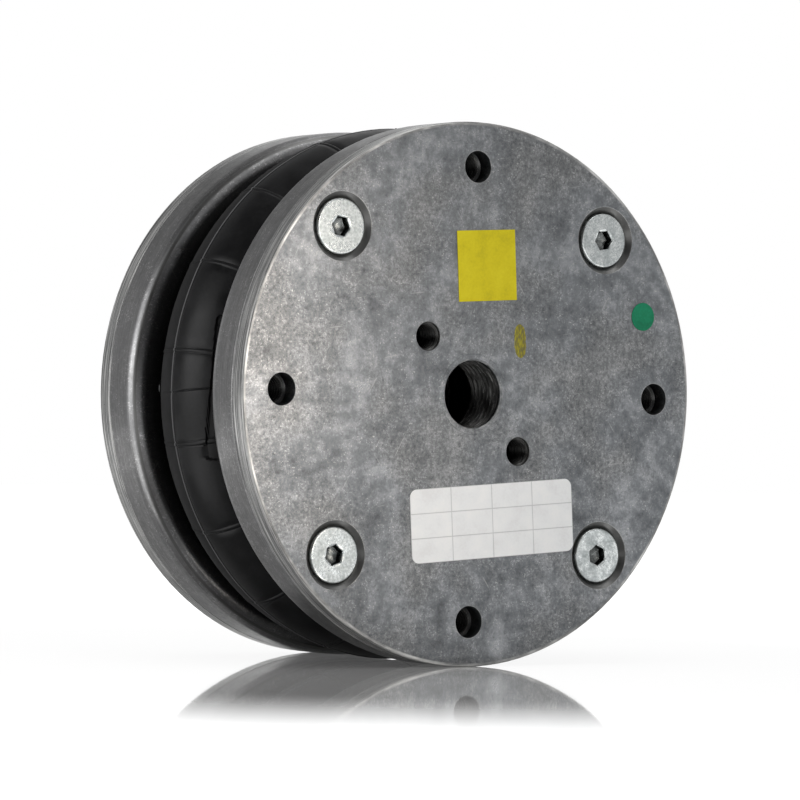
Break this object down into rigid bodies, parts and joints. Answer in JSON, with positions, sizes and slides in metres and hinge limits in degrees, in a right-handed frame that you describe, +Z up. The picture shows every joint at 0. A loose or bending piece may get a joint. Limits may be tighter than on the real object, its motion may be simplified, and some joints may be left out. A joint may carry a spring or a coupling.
{
  "type": "air bellows actuator",
  "caption": "Single-convolution air bellows actuator: a moulded rubber bellows clamped between two round cast plates, one with a threaded air port, that lengthens and shortens along its axis.",
  "frame": {"origin": "centre of the port plate's mounting face, on the actuator's axis", "axes": "+Y runs along the axis from the port plate to the blank plate, +X is right and +Z is up as seen from the port side; the part lies on its side as in the picture"},
  "size_m": [0.152, 0.0762, 0.152],
  "materials": {
    "cast_plate": "raw die casting, mottled and lightly scratched",
    "bead_ring": "raw die casting, smooth and darker",
    "zinc_screw": "bright zinc plate",
    "rubber": "moulded satin",
    "cord_ply": "rubberised cord fabric",
    "liner": "smooth airtight rubber",
    "bead_wire": "drawn wire",
    "white_label": "printed film, blank",
    "yellow_label": "printed film, blank",
    "green_sticker": "paper sticker",
    "paint_mark": "brushed inspection paint"
  },
  "bodies": {
    "port_end": {"port_plate": "cast_plate", "port_ring": "bead_ring", "port_screws": "zinc_screw", "port_bead_wire": "bead_wire", "bellows_cover": "rubber", "outer_ply": "cord_ply", "inner_ply": "cord_ply", "liner": "liner", "rating_label": "white_label", "square_label": "yellow_label", "round_sticker": "green_sticker", "paint_mark": "paint_mark"},
    "blank_end": {"blank_plate": "cast_plate", "blank_ring": "bead_ring", "blank_screws": "zinc_screw", "blank_bead_wire": "bead_wire"}
  },
  "joints": [
    {"name": "stroke", "type": "slide", "parent": "port_end", "child": "blank_end", "axis": [0, 1, 0], "range_m": [-0.021, 0.034], "stiffness_N_per_m": 6000, "deforming": ["bellows_cover", "outer_ply", "inner_ply", "liner"]}
  ]
}
